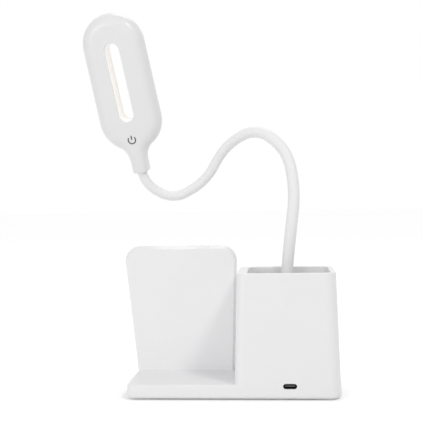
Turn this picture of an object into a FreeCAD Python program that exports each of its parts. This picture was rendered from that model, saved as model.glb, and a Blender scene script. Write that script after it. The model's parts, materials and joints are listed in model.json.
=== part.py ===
import FreeCAD, Part
import math
import os

# Desk organiser with a rechargeable reading lamp.
# Millimetres, +Z up, +X to the right, the front of the base faces -Y.
# The origin is the middle of the non-slip pad's underside, on the table.

Vec = FreeCAD.Vector
X_AXIS = Vec(1, 0, 0)
Y_AXIS = Vec(0, 1, 0)
Z_AXIS = Vec(0, 0, 1)

# ---- Driving dimensions: base ------------------------------------------------
base_length = 143.0          # left end to right end, at the table
base_depth = 60.0            # front face to back face
pad_proud = 0.8              # how far the non-slip pad stands out of the base
shelf_height = 9.2           # thickness of the low shelf on the left
cup_height = 82.8            # from the base's underside to the rim of the pen cup
cup_length = 70.6            # length of the pen cup where it leaves the shelf
wall_draft = 1.85            # slope of the end walls, in degrees
shell_wall = 2.4             # thickness of the moulded walls
right_corner_radius = 8.0    # upright corners at the right end
left_corner_radius = 6.0     # upright corners of the shelf and the cup's left side
bottom_edge_radius = 2.2     # rounding of the edge next to the table
rim_edge_radius = 0.9        # rounding of the cup's rim
shelf_edge_radius = 1.3      # rounding of the shelf's top edge
pocket_edge_radius = 0.5     # rounding of the pocket's mouth

# ---- Driving dimensions: pocket for pens --------------------------------------
pocket_left_rim = 6.6        # width of the rim at its left
pocket_right_rim = 3.6       # width of the rim at its right
pocket_front_rim = 3.2
pocket_back_rim = 7.0
pocket_depth = 56.0          # rim to pocket floor
pocket_floor = 2.0           # thickness of the pocket floor
pocket_draft = 1.0           # slope of the pocket walls, in degrees
pocket_corner_radius = 5.0

# ---- Driving dimensions: underside --------------------------------------------
cover_thickness = 2.4
fit_gap = 0.15               # gap round a cover, board or panel in its seat
thread_gap = 0.05            # gap between a screw and its hole
pad_end_inset = 12.5         # from the ends of the base
pad_side_inset = 4.5         # from its front and back
pad_thickness = 1.2
pad_corner_radius = 6.0
boss_radius = 3.2
boss_inset_x = 7.0           # screw axis from the end of the base
boss_inset_y = 8.0           # screw axis from the front or back of the base
screw_radius = 1.25
screw_head_radius = 2.4
screw_head_height = 1.3
screw_length = 5.0           # below the head
drive_size = (2.8, 0.6)      # cross slot in the screw's head
drive_depth = 0.6

# ---- Driving dimensions: inside the base --------------------------------------
ballast_length = 50.0
ballast_width = 38.0
ballast_thickness = 4.0
ballast_corner_radius = 2.0
ballast_inset = (12.5, 5.0)  # from the left end and the front of the base
cell_length = 50.0
cell_thickness = 10.0
cell_edge_radius = 1.5
cell_inset = (13.0, 4.0)     # from the right end and the back of the base
cell_to_board = 3.3          # between the cell and the board in front of it
cradle_wall = 1.2
cradle_height = 4.0
board_length = 44.0
board_width = 20.0
board_thickness = 1.6
board_corner_radius = 1.0
board_screw_inset = 3.5
board_screw_radius = 0.9
board_screw_head_radius = 1.8
board_screw_head_height = 1.2
board_screw_length = 3.6
board_post_radius = 2.4
board_blocks = (             # from the port's middle, from the board's back, length, width, height
    (-12.0, 12.0, 5.0, 5.0, 0.9),    # charging chip
    (5.0, 9.0, 6.0, 6.0, 3.0),       # coil
    (-4.0, 6.0, 6.0, 5.0, 4.2),      # plug for the neck's wires
)

# ---- Driving dimensions: charging socket ---------------------------------------
port_inset = 34.0            # middle of the charging socket from the right end
port_height = 8.5            # above the base's underside
port_opening = (9.2, 3.5)    # opening in the front wall
port_shell = (8.94, 3.26)    # outside of the metal shell
port_shell_wall = 0.3
port_shell_depth = 7.4
port_recess = 0.6            # the shell's mouth behind the front face
tongue_size = (6.7, 0.7)
tongue_setback = 0.9         # the tongue's tip behind the shell's mouth
port_back_wall = 1.0

# ---- Driving dimensions: phone plate -------------------------------------------
plate_inset = 9.5            # foot of the plate's front face from the back of the base
plate_height = 89.4          # above the shelf
plate_thickness = 5.0
plate_lean = 4.0             # degrees backwards
plate_foot_overhang = 0.3    # the plate's foot beyond the left end of the base
plate_cup_gap = 2.2          # between the plate's foot and the pen cup
plate_left_splay = 6.5       # degrees outwards, going up
plate_right_splay = 1.5
plate_corner_radius = 11.0
plate_side_bevel = 1.6       # the front face is this much smaller at each side
plate_top_bevel = 2.6
plate_edge_radius = 0.5
plate_skin = 2.0             # thickness of the plate's front skin
plate_cover_thickness = 1.4
plate_frame = 3.0            # width of the plate's frame round its back cover
plate_ledge = 1.0            # width of the ledge that the back cover lies on
plate_sink = 3.0             # the plate is made this much longer, then cut flat at the shelf
tab_width = 12.0
tab_thickness = 4.6
tab_inset = 18.0             # tab's middle from the plate's foot corner

# ---- Driving dimensions: gooseneck ----------------------------------------------
neck_inset = (36.0, 16.0)    # neck's foot from the right end and the back of the base
neck_steps = (               # from the neck's foot to the corners that its line rounds off
    (0.7, -0.6, 50.2),
    (4.0, 3.3, 79.7),
    (7.8, 10.5, 109.1),
    (3.0, 18.8, 138.9),
    (-19.2, 29.7, 157.1),
    (-43.4, 42.0, 144.9),
    (-59.8, 52.4, 117.7),
    (-85.9, 61.2, 104.6),
)
neck_reach = (-108.87, 54.03, 126.95)    # from the neck's foot to the end of the head's socket
neck_entry = 10.5            # last corner of the line below the head's socket
bend_share = 0.46            # part of the shorter run that a bend takes up
sleeve_foot_radius = 4.15
sleeve_head_radius = 3.7
sleeve_bore_radius = 3.0
sleeve_gap = 2.2             # between two lengths of sleeve, so that they can bend
core_radius = 1.9
barrel_radius = 2.1          # hinge barrel at the upper end of each core
barrel_half_length = 1.95
barrel_clearance = 0.05
saddle_radius = 2.9          # saddle that the barrel turns in, on the next core
saddle_start = 0.3           # saddle's rim beyond the hinge's axis
saddle_reach = 3.6
core_tuck = 0.6              # how far the core's rod goes into its saddle
bends_in_plane = (True, True, False, True, False, True, False, True)    # each hinge, from the foot up
core_gap = 0.05
bush_flange_radius = 7.0
bush_flange_height = 3.0
bush_spigot_height = 9.0
bush_stem_radius = 4.0
nut_across_flats = 13.0
nut_height = 4.0
thread_end = 1.0             # the bush's thread beyond its nut

# ---- Driving dimensions: lamp head ------------------------------------------------
head_turn = -5.75            # about Z, degrees
head_lean = 16.6             # about X, top towards the front
head_tilt = -7.76            # about Y, top to the left
head_width = 46.7            # across its round top end
head_lower_width = 47.7      # across its round bottom end
head_length = 104.25         # without the socket
head_thickness = 14.0
head_wall = 1.8
head_back_radius = 8.8       # rounding of the edge on the back
socket_back_radius = 5.4     # the same edge where it reaches the socket
head_front_radius = 3.0      # rounding of the edge on the light side
head_parting = 2.0           # where the two shells meet, towards the light side
slot_width = 11.2
slot_top = 21.05             # slot's end below the head's top end
slot_bottom = 24.0           # slot's end above the head's bottom end
slot_edge_radius = 0.5       # rounding of the slot's edge on the back
liner_wall = 1.4
window_top = 6.0             # window's end below the head's top end
window_bottom = 12.5         # window's end above the head's bottom end
window_side = 6.0
diffuser_lap = 2.0
diffuser_thickness = 1.8
led_board_thickness = 1.1
led_size = (2.8, 0.8, 3.5)
led_rows = 9
led_pitch = 5.6
touch_board_size = (10.0, 8.0)
board_gap = 0.5              # between the touch board and the light's board
touch_foam_radius = 2.8      # conducting foam between the touch board and the shell
icon_rise = 9.9              # icon's middle above the head's bottom end
icon_radius = 3.25
icon_line = 0.8
icon_bar = (0.2, 3.4)        # the bar's ends above the icon's middle
icon_opening = 48.0          # half of the ring's opening, in degrees
icon_thickness = 0.12
head_screw_place = (11.5, 10.0)   # from the head's middle line, above its bottom end
head_screw_radius = 0.9
head_screw_head_radius = 1.7
head_screw_head_height = 1.2
head_screw_recess = 1.6      # its seat below the front shell's face
head_screw_length = 5.0      # beyond the parting plane
head_boss_radius = 2.3
socket_reach = 16.6          # the socket's end beyond the head's bottom end
socket_width = 12.2
socket_flare = 14.0          # radius of the hollow curve from the head's end into the socket
socket_edge_radius = 0.8     # rounding of the socket's end
socket_bore = 4.0
socket_bore_end = 4.5        # top of the socket's bore, above the head's bottom end
front_shell_end = 3.0        # the front shell's end above the head's bottom end
sleeve_tuck = 4.0            # how far the last sleeve goes into the socket
ferrule_length = 10.0
pinch_screw_radius = 1.0
pinch_screw_length = 3.2
pinch_screw_reach = 7.5      # pinch screw's axis beyond the head's bottom end

# ---- Working allowances --------------------------------------------------------------
overrun = 1.0                # how far a cutting block runs past the face that it cuts
root = 0.2                   # how far a post is sunk into the wall that carries it
tip_room = 0.5               # pilot hole beyond the tip of its screw
near = 0.01                  # two places closer than this are the same

# ---- Levels and planes that follow from them ----------------------------------------
shell_bottom = pad_proud
shelf_top = shell_bottom + shelf_height
rim_level = shell_bottom + cup_height
front_y = -base_depth / 2
back_y = base_depth / 2
left_x = -base_length / 2
right_x = base_length / 2
slope = math.tan(math.radians(wall_draft))
cup_left_foot = right_x - cup_length
floor_level = rim_level - pocket_depth
cover_top = shell_bottom + cover_thickness
shelf_ceiling = shelf_top - shell_wall
pocket_underside = floor_level - pocket_floor
port_level = shell_bottom + port_height
board_top = port_level - port_shell[1] / 2
board_bottom = board_top - board_thickness
board_back_y = front_y + shell_wall + 2 * fit_gap + board_width
port_x = right_x - port_inset
cell_right = right_x - cell_inset[0]
cell_back = back_y - cell_inset[1]
cell_front = board_back_y + cell_to_board
pad_length = base_length - 2 * pad_end_inset
pad_width = base_depth - 2 * pad_side_inset
plate_front_y = back_y - plate_inset
plate_foot_left = left_x - plate_foot_overhang
plate_foot_right = cup_left_foot - plate_cup_gap
neck_foot = Vec(right_x - neck_inset[0], back_y - neck_inset[1], floor_level)
head_end = -head_length / 2
socket_end = head_end - socket_reach
slot_length = head_length - slot_top - slot_bottom
slot_offset = (slot_bottom - slot_top) / 2
icon_level = head_end + icon_rise
pinch_screw_level = head_end - pinch_screw_reach

made = {}


def keep(name, shape):
    """Store one finished node under the name of its file."""
    made[name] = shape.removeSplitter()


def box(x0, x1, y0, y1, z0, z1):
    return Part.makeBox(x1 - x0, y1 - y0, z1 - z0, Vec(x0, y0, z0))


def rod(radius, start, end, bore=0.0):
    """Round bar between two points, with an optional bore."""
    way = end - start
    bar = Part.makeCylinder(radius, way.Length, start, way)
    if bore > 0:
        bar = bar.cut(Part.makeCylinder(bore, way.Length, start, way))
    return bar


def rounded_outline(x0, x1, y0, y1, radius, z):
    """Closed wire of a rectangle with round corners in a level plane."""
    corners = [(x1 - radius, y0 + radius, -90), (x1 - radius, y1 - radius, 0),
               (x0 + radius, y1 - radius, 90), (x0 + radius, y0 + radius, 180)]
    arcs = []
    for cx, cy, start in corners:
        points = []
        for turn in (0, 45, 90):
            a = math.radians(start + turn)
            points.append(Vec(cx + radius * math.cos(a), cy + radius * math.sin(a), z))
        arcs.append(points)
    edges = []
    for i, arc in enumerate(arcs):
        edges.append(Part.Arc(*arc).toShape())
        edges.append(Part.makeLine(arc[2], arcs[(i + 1) % 4][0]))
    return Part.Wire(edges)


def rounded_slab(x0, x1, y0, y1, radius, z0, z1):
    """Upright block with round corners."""
    face = Part.Face(rounded_outline(x0, x1, y0, y1, radius, z0))
    return face.extrude(Vec(0, 0, z1 - z0))


def edges_where(shape, test):
    return [edge for edge in shape.Edges if test(edge.BoundBox)]


def on_edge(shape, test, radius):
    """Round the edges whose bounding boxes pass a test."""
    return shape.makeFillet(radius, edges_where(shape, test))


# ---- Base -----------------------------------------------------------------------------

def end_x(z, inset):
    """Left and right ends of the base at a level, drawn in by the wall thickness."""
    draw = slope * (z - shell_bottom) + inset
    return left_x + draw, right_x - draw


def cup_left(z, inset=0.0):
    return cup_left_foot + slope * (z - shelf_top) + inset


def upright_block(points, inset):
    """Extrude an outline seen from the front through the depth of the base."""
    points = [Vec(x, front_y + inset, z) for x, z in points]
    face = Part.Face(Part.makePolygon(points + points[:1]))
    return face.extrude(Vec(0, base_depth - 2 * inset, 0))


def upright_edge(b):
    return b.YLength < near and b.ZLength > b.XLength and b.ZLength > rim_edge_radius


def slab_block(inset, low, high):
    """The low part of the base, from its left end to well under the cup."""
    right = cup_left_foot + 2 * left_corner_radius
    points = [(end_x(low, inset)[0], low), (right, low), (right, high), (end_x(high, inset)[0], high)]
    block = upright_block(points, inset)
    return on_edge(block, lambda b: upright_edge(b) and b.XMax < 0, left_corner_radius - inset)


def cup_block(inset, low, high):
    """The tall part of the base, from the table to its top."""
    points = [(cup_left(low, inset), low), (end_x(low, inset)[1], low),
              (end_x(high, inset)[1], high), (cup_left(high, inset), high)]
    block = upright_block(points, inset)
    middle = cup_left_foot + cup_length / 2
    block = on_edge(block, lambda b: upright_edge(b) and b.XMin > middle, right_corner_radius - inset)
    return on_edge(block, lambda b: upright_edge(b) and b.XMax < middle, left_corner_radius - inset)


def base_room(inset, low, shelf_level, cup_level):
    """The room inside the base, drawn in from its outside."""
    return slab_block(inset, low, shelf_level).fuse(cup_block(inset, low, cup_level)).removeSplitter()


def pocket_block(grow, low, high):
    """The pen pocket as a tapered block, from the level low to the level high."""
    taper = math.tan(math.radians(pocket_draft))
    rim_left = cup_left_foot + slope * (rim_level - shelf_top)
    rim_right = right_x - slope * (rim_level - shell_bottom)
    wires = []
    for z in (low, high):
        draw = taper * (rim_level - z) - grow
        wires.append(rounded_outline(rim_left + pocket_left_rim + draw, rim_right - pocket_right_rim - draw,
                                     front_y + pocket_front_rim + draw, back_y - pocket_back_rim - draw,
                                     pocket_corner_radius + grow, z))
    return Part.makeLoft(wires, True, True)


def boss_places():
    x = base_length / 2 - boss_inset_x
    y = base_depth / 2 - boss_inset_y
    return [(-x, -y), (-x, y), (x, -y), (x, y)]


def tab_places():
    y = plate_front_y + plate_thickness / 2 + fit_gap
    return [(plate_foot_left + tab_inset, y), (plate_foot_right - tab_inset, y)]


def port_stadium(size, y0, y1):
    """Block with the rounded section of the charging socket, along Y."""
    w, h = size
    r = h / 2
    x0 = port_x - w / 2
    middle = box(x0 + r, x0 + w - r, y0, y1, port_level - r, port_level + r)
    ends = [Part.makeCylinder(r, y1 - y0, Vec(x, y0, port_level), Y_AXIS) for x in (x0 + r, x0 + w - r)]
    return middle.fuse(ends).removeSplitter()


def make_base_shell():
    slab = slab_block(0, shell_bottom, shelf_top)
    slab = on_edge(slab, lambda b: b.ZMin > shelf_top - near and b.XMin < cup_left_foot, shelf_edge_radius)
    outer = slab.fuse(cup_block(0, shell_bottom, rim_level)).removeSplitter()
    outer = on_edge(outer, lambda b: b.ZMax < shell_bottom + near, bottom_edge_radius)
    outer = on_edge(outer, lambda b: b.ZMin > rim_level - near, rim_edge_radius)
    outer = outer.cut(pocket_block(0, floor_level, rim_level + overrun))
    mouth = pocket_block(near, rim_level - overrun, rim_level).BoundBox
    outer = on_edge(outer, lambda b: b.ZMin > rim_level - near and mouth.isInside(b), pocket_edge_radius)
    shell = outer.cut(base_room(shell_wall, shell_bottom, shelf_ceiling, pocket_underside))
    # hollow left and back walls beside the pocket, open to the room below
    wall_top = rim_level - shell_wall - pocket_floor
    gap = cup_block(shell_wall, shell_bottom, wall_top)
    gap = gap.cut(pocket_block(pocket_floor, pocket_underside - pocket_floor, rim_level))
    clear = shell_wall + right_corner_radius
    low = pocket_underside - overrun
    left_part = box(left_x, cup_left_foot + clear, front_y + clear, back_y - clear, low, wall_top)
    back_part = box(cup_left_foot + clear, right_x - clear, back_y - clear, back_y, low, wall_top)
    shell = shell.cut(gap.common(left_part)).cut(gap.common(back_part))
    for x, y in boss_places():
        ceiling = shelf_ceiling if x < cup_left_foot else pocket_underside
        post = rod(boss_radius, Vec(x, y, cover_top), Vec(x, y, ceiling + root))
        pilot_end = shell_bottom + screw_head_height + screw_length + tip_room
        pilot = rod(screw_radius + thread_gap, Vec(x, y, shell_bottom), Vec(x, y, pilot_end))
        shell = shell.fuse(post).cut(pilot)
    for x, y in tab_places():
        half_w = tab_width / 2 + fit_gap
        half_t = tab_thickness / 2 + fit_gap
        opening = box(x - half_w, x + half_w, y - half_t, y + half_t,
                      shelf_ceiling - overrun, shelf_top + overrun)
        shell = shell.cut(opening)
    shell = shell.cut(port_stadium(port_opening, front_y - overrun, front_y + shell_wall + overrun))
    drop = Z_AXIS * (floor_level - low)
    hole = rod(bush_stem_radius + fit_gap, neck_foot - drop, neck_foot + Z_AXIS * overrun)
    keep("base_shell", shell.cut(hole))


def cell_box(grow, z0, z1):
    return box(cell_right - cell_length - grow, cell_right + grow, cell_front - grow, cell_back + grow, z0, z1)


def board_screw_places():
    x = board_length / 2 - board_screw_inset
    y0 = board_back_y - board_width + board_screw_inset
    y1 = board_back_y - board_screw_inset
    return [(port_x - x, y1), (port_x + x, y1), (port_x - x, y0), (port_x + x, y0)]


def make_bottom_cover():
    inset = shell_wall + fit_gap
    cover = base_room(inset, shell_bottom, cover_top, cover_top)
    x, y = pad_length / 2 + fit_gap, pad_width / 2 + fit_gap
    recess_top = shell_bottom + pad_thickness - pad_proud
    cover = cover.cut(rounded_slab(-x, x, -y, y, pad_corner_radius, shell_bottom - overrun, recess_top))
    cover = cover.fuse(cell_box(fit_gap + cradle_wall, cover_top, cover_top + cradle_height))
    cover = cover.cut(cell_box(fit_gap, cover_top, cover_top + cradle_height + overrun))
    for px, py in board_screw_places():
        post_foot = Vec(px, py, cover_top)
        post_top = Vec(px, py, board_bottom)
        cover = cover.fuse(rod(board_post_radius, post_foot - Z_AXIS * root, post_top))
        cover = cover.cut(rod(board_screw_radius + thread_gap, post_foot, post_top))
    for places, head_seat in ((boss_places(), shell_bottom), (tab_places(), recess_top)):
        for px, py in places:
            under = Vec(px, py, 0)
            head_top = Vec(px, py, head_seat + screw_head_height)
            cover = cover.cut(rod(screw_head_radius + fit_gap, under, head_top))
            cover = cover.cut(rod(screw_radius + fit_gap, under, Vec(px, py, cover_top + overrun)))
    keep("bottom_cover", cover)


def screw(x, y, head_z, length):
    """Pan-head screw, head down at head_z, shank going up."""
    head_top = head_z + screw_head_height
    head = rod(screw_head_radius, Vec(x, y, head_z), Vec(x, y, head_top))
    shank = rod(screw_radius, Vec(x, y, head_top), Vec(x, y, head_top + length))
    long, wide = drive_size
    slots = [box(x - a, x + a, y - b, y + b, head_z, head_z + drive_depth)
             for a, b in ((long / 2, wide / 2), (wide / 2, long / 2))]
    return head.fuse(shank).cut(slots[0]).cut(slots[1])


def make_underside_pieces():
    x, y = pad_length / 2, pad_width / 2
    keep("non_slip_pad", rounded_slab(-x, x, -y, y, pad_corner_radius, 0, pad_thickness))
    cover_screws = [screw(px, py, shell_bottom, screw_length) for px, py in boss_places()]
    keep("cover_screws", Part.makeCompound(cover_screws))
    plate_screw_head = shell_bottom + pad_thickness - pad_proud
    plate_screws = [screw(px, py, plate_screw_head, screw_length) for px, py in tab_places()]
    keep("plate_screws", Part.makeCompound(plate_screws))


def make_inside_pieces():
    x, y = left_x + ballast_inset[0], front_y + ballast_inset[1]
    ballast = rounded_slab(x, x + ballast_length, y, y + ballast_width, ballast_corner_radius,
                           cover_top, cover_top + ballast_thickness)
    keep("ballast_plate", ballast)
    cell = cell_box(0, cover_top, cover_top + cell_thickness)
    keep("battery_cell", cell.makeFillet(cell_edge_radius, cell.Edges))
    y1 = board_back_y
    half = board_length / 2
    board = rounded_slab(port_x - half, port_x + half, y1 - board_width, y1, board_corner_radius,
                         board_bottom, board_top)
    for px, py in board_screw_places():
        hole = rod(board_screw_radius + fit_gap, Vec(px, py, board_bottom), Vec(px, py, board_top))
        board = board.cut(hole)
    keep("main_board", board)
    screws = []
    for px, py in board_screw_places()[:2]:
        seat = Vec(px, py, board_top)
        head = rod(board_screw_head_radius, seat, seat + Z_AXIS * board_screw_head_height)
        screws.append(head.fuse(rod(board_screw_radius, seat - Z_AXIS * board_screw_length, seat)))
    keep("board_screws", Part.makeCompound(screws))
    blocks = []
    for from_port, from_back, length, width, height in board_blocks:
        x0, y0 = port_x + from_port, y1 - from_back
        blocks.append(box(x0, x0 + length, y0, y0 + width, board_top, board_top + height))
    keep("board_components", Part.makeCompound(blocks))


def make_charging_socket():
    y0 = front_y + port_recess
    y1 = y0 + port_shell_depth
    inner = (port_shell[0] - 2 * port_shell_wall, port_shell[1] - 2 * port_shell_wall)
    tube = port_stadium(port_shell, y0, y1).cut(port_stadium(inner, y0 - overrun, y1 + overrun))
    keep("socket_shell", tube)
    back = port_stadium((inner[0] - near, inner[1] - near), y1 - port_back_wall, y1)
    w, h = tongue_size
    tongue = box(port_x - w / 2, port_x + w / 2, y0 + tongue_setback, y1,
                 port_level - h / 2, port_level + h / 2)
    keep("socket_tongue", back.fuse(tongue))


# ---- Phone plate -----------------------------------------------------------------------

def plate_outline(side_in, top_in, radius, y, foot):
    """Outline of the plate in an upright plane; side_in and top_in draw it in."""
    left_run = math.tan(math.radians(plate_left_splay))
    right_run = math.tan(math.radians(plate_right_splay))
    top = plate_height - top_in
    low_left = Vec(plate_foot_left + side_in - left_run * foot, y, foot)
    low_right = Vec(plate_foot_right - side_in + right_run * foot, y, foot)
    top_left = Vec(plate_foot_left + side_in - left_run * top, y, top)
    top_right = Vec(plate_foot_right - side_in + right_run * top, y, top)
    corner_a = round_corner(low_left, top_left, top_right, radius)
    corner_b = round_corner(top_left, top_right, low_right, radius)
    edges = [Part.makeLine(low_left, corner_a[0]), Part.Arc(*corner_a).toShape(),
             Part.makeLine(corner_a[2], corner_b[0]), Part.Arc(*corner_b).toShape(),
             Part.makeLine(corner_b[2], low_right), Part.makeLine(low_right, low_left)]
    return Part.Wire(edges)


def round_corner(before, corner, after, radius):
    """Three points of the arc that rounds a corner with a radius."""
    u = (before - corner).normalize()
    w = (after - corner).normalize()
    half = u.getAngle(w) / 2
    reach = radius / math.tan(half)
    middle_way = (u + w).normalize()
    centre = corner + middle_way * (radius / math.sin(half))
    return corner + u * reach, centre - middle_way * radius, corner + w * reach


def lean_plate(shape):
    """Turn an upright plate piece to its lean and set it on the shelf."""
    shape = shape.copy()
    shape.rotate(Vec(0, 0, 0), X_AXIS, -plate_lean)
    shape.translate(Vec(0, plate_front_y, shelf_top))
    return shape


def make_phone_plate():
    under = -plate_sink
    t = plate_thickness
    front = plate_outline(plate_side_bevel, plate_top_bevel, plate_corner_radius - plate_side_bevel, 0, under)
    back = plate_outline(0, 0, plate_corner_radius, t, under)
    plate = Part.makeLoft([front, back], True, True)
    plate = on_edge(plate, lambda b: b.YMax < near and b.ZMax > 0, plate_edge_radius)
    foot = 2 * plate_frame
    inner = plate_outline(plate_frame, plate_frame, plate_corner_radius - plate_frame, plate_skin, foot)
    recess = Part.Face(inner).extrude(Vec(0, t - plate_skin + overrun, 0))
    ledge = plate_frame - plate_ledge
    seat = plate_outline(ledge, ledge, plate_corner_radius - ledge, t - plate_cover_thickness,
                         foot - plate_ledge)
    rebate = Part.Face(seat).extrude(Vec(0, plate_cover_thickness + overrun, 0))
    plate = lean_plate(plate.cut(recess).cut(rebate))
    bounds = plate.BoundBox
    plate = plate.cut(box(bounds.XMin, bounds.XMax, bounds.YMin, bounds.YMax, bounds.ZMin, shelf_top))
    for x, y in tab_places():
        tab = box(x - tab_width / 2, x + tab_width / 2, y - tab_thickness / 2, y + tab_thickness / 2,
                  cover_top + thread_gap, shelf_top + plate_skin)
        pilot = rod(screw_radius + thread_gap, Vec(x, y, shell_bottom), Vec(x, y, shelf_top + plate_skin))
        plate = plate.fuse(tab).cut(pilot)
    keep("phone_plate", plate)
    lid_in = ledge + fit_gap
    lid = plate_outline(lid_in, lid_in, plate_corner_radius - lid_in, t - plate_cover_thickness,
                        foot - plate_ledge + fit_gap)
    keep("plate_back_cover", lean_plate(Part.Face(lid).extrude(Vec(0, plate_cover_thickness, 0))))


# ---- Lamp head, in its own frame: X across, Y towards the light side, Z to the top -------

def head_placement():
    """Set the head's socket on the end of the neck."""
    turn = FreeCAD.Rotation(Z_AXIS, head_turn)
    lean = FreeCAD.Rotation(X_AXIS, head_lean)
    tilt = FreeCAD.Rotation(Y_AXIS, head_tilt)
    pose = turn.multiply(lean).multiply(tilt)
    return FreeCAD.Placement(neck_foot + Vec(*neck_reach) - pose.multVec(Z_AXIS * socket_end), pose)


def keep_on_head(name, shape):
    shape = shape.removeSplitter()
    shape.Placement = head_placement().multiply(shape.Placement)
    made[name] = shape


def pill(width, length, y0, y1, middle=0.0):
    """Block with a long round-ended outline, between two planes along Y."""
    r = width / 2
    h = length / 2 - r
    side = [Vec(r, y0, middle - h), Vec(r, y0, middle + h), Vec(-r, y0, middle + h), Vec(-r, y0, middle - h)]
    top = Part.Arc(side[1], Vec(0, y0, middle + h + r), side[2]).toShape()
    low = Part.Arc(side[3], Vec(0, y0, middle - h - r), side[0]).toShape()
    wire = Part.Wire([Part.makeLine(side[0], side[1]), top, Part.makeLine(side[2], side[3]), low])
    return Part.Face(wire).extrude(Vec(0, y1 - y0, 0))


def head_outline(y, end):
    """Outline of the head and its socket in the plane y, down to the level end."""
    top_r, low_r, half = head_width / 2, head_lower_width / 2, socket_width / 2
    top_z, low_z = head_length / 2 - top_r, head_end + low_r
    rise = (low_r - top_r) / (top_z - low_z)
    out = Vec(math.sqrt(1 - rise * rise), 0, rise)
    flare_x = half + socket_flare
    flare_z = low_z - math.sqrt((low_r + socket_flare) ** 2 - flare_x ** 2)
    way = Vec(flare_x, 0, flare_z - low_z).normalize()
    turn = (Vec(-1, 0, 0) - way).normalize()
    right = [Vec(0, 0, top_z) + out * top_r, Vec(0, 0, low_z) + out * low_r,
             Vec(0, 0, low_z) + (out + way).normalize() * low_r, Vec(0, 0, low_z) + way * low_r,
             Vec(flare_x, 0, flare_z) + turn * socket_flare, Vec(half, 0, flare_z), Vec(half, 0, end)]
    right = [Vec(p.x, y, p.z) for p in right]
    left = [Vec(-p.x, y, p.z) for p in right]
    edges = [Part.Arc(left[0], Vec(0, y, top_z + top_r), right[0]).toShape()]
    for side in (right, left):
        edges += [Part.makeLine(side[0], side[1]), Part.Arc(*side[1:4]).toShape(),
                  Part.Arc(*side[3:6]).toShape(), Part.makeLine(side[5], side[6])]
    edges.append(Part.makeLine(left[6], right[6]))
    return Part.Wire(Part.__sortEdges__(edges))


def round_back(body, below):
    """Round the head's back edge; the rounding gets smaller along the flare into the socket."""
    t = head_thickness / 2
    socket_level = max(e.BoundBox.ZMax for e in body.Edges
                       if e.BoundBox.YMax < -t + near and abs(abs(e.BoundBox.XMax) - socket_width / 2) < near
                       and e.BoundBox.XLength < near)
    radii = []
    for number, edge in enumerate(body.Edges, 1):
        b = edge.BoundBox
        if b.YMax > -t + near or b.ZMax < below + near:
            continue
        start, end = head_back_radius, head_back_radius
        if b.ZMax < socket_level + near:
            start, end = socket_back_radius, socket_back_radius
        elif b.ZMin < socket_level + near:
            first, last = edge.valueAt(edge.FirstParameter), edge.valueAt(edge.LastParameter)
            if (first.z > last.z) == (edge.Orientation != "Reversed"):
                end = socket_back_radius
            else:
                start = socket_back_radius
        radii.append((number, start, end))
    work = FreeCAD.newDocument("rounding")
    base = work.addObject("Part::Feature", "body")
    base.Shape = body
    rounding = work.addObject("Part::Fillet", "rounded")
    rounding.Base = base
    rounding.Edges = radii
    work.recompute()
    rounded = rounding.Shape.copy()
    FreeCAD.closeDocument(work.Name)
    return rounded


def head_body():
    """Flat head with rounded edges that runs into the socket for the neck."""
    t = head_thickness / 2
    below = socket_end - 2 * overrun
    body = Part.Face(head_outline(-t, below)).extrude(Vec(0, 2 * t, 0))
    body = round_back(body, below)
    body = on_edge(body, lambda b: b.YMin > t - near and b.ZMax > below + near, head_front_radius)
    body = body.cut(box(-head_width, head_width, -2 * t, 2 * t, below - overrun, socket_end))
    return on_edge(body, lambda b: b.ZMax < socket_end + near, socket_edge_radius)


def head_inside():
    """The hollow of the two shells, whose back edge follows the rounding outside."""
    back = head_wall - head_thickness / 2
    inside = pill(head_width - 2 * head_wall, head_length - 2 * head_wall, back, head_parting)
    rounding = min(head_back_radius - head_wall, head_parting - back - near)
    return on_edge(inside, lambda b: b.YMax < back + near, rounding)


def window(lap, y0, y1):
    """Opening for the diffuser on the light side; lap widens it."""
    top = head_length / 2 - window_top + lap
    low = head_end + window_bottom - lap
    return pill(head_width - 2 * window_side + 2 * lap, top - low, y0, y1, (top + low) / 2)


def slot(grow, y0, y1):
    return pill(slot_width + 2 * grow, slot_length + 2 * grow, y0, y1, slot_offset)


def head_screw_axis():
    x, rise = head_screw_place
    return [(-x, head_end + rise), (x, head_end + rise)]


def make_head_shells():
    t = head_thickness / 2
    body = head_body()
    bore_top = head_end + socket_bore_end
    front_zone = box(-head_width, head_width, head_parting, t + overrun, head_end + front_shell_end,
                     head_length / 2 + overrun)
    neck_bore = rod(socket_bore, Vec(0, 0, socket_end - overrun), Vec(0, 0, bore_top))
    hollow = head_inside()
    hollow = hollow.cut(box(-head_width, head_width, -t, t, head_end, bore_top))
    slotted = body.cut(slot(0, -t - overrun, t))
    slotted = on_edge(slotted, lambda b: b.YMax < -t + near and b.XLength < slot_width + near
                      and b.ZLength < slot_length + near, slot_edge_radius)
    back = slotted.cut(front_zone).cut(hollow).cut(neck_bore)
    front = body.common(front_zone).cut(window(0, 0, t + overrun))
    front = front.cut(window(diffuser_lap, t - diffuser_thickness, t + overrun))
    screw_tip = head_parting - head_screw_length
    for x, z in head_screw_axis():
        seat = Vec(x, t - head_screw_recess, z)
        face = Vec(x, t + overrun, z)
        meet = Vec(x, head_parting, z)
        back = back.fuse(rod(head_boss_radius, Vec(x, head_wall / 2 - t, z), meet).common(body))
        back = back.cut(rod(head_screw_radius + thread_gap, Vec(x, screw_tip - root, z), meet))
        front = front.cut(rod(head_screw_radius + fit_gap, Vec(x, 0, z), face))
        front = front.cut(rod(head_screw_head_radius + fit_gap, seat, face))
    pinch = Vec(0, 0, pinch_screw_level)
    back = back.cut(rod(pinch_screw_radius + thread_gap, pinch, pinch + Vec(0, t, 0)))
    keep_on_head("head_back_shell", back)
    keep_on_head("head_front_shell", front)


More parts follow.
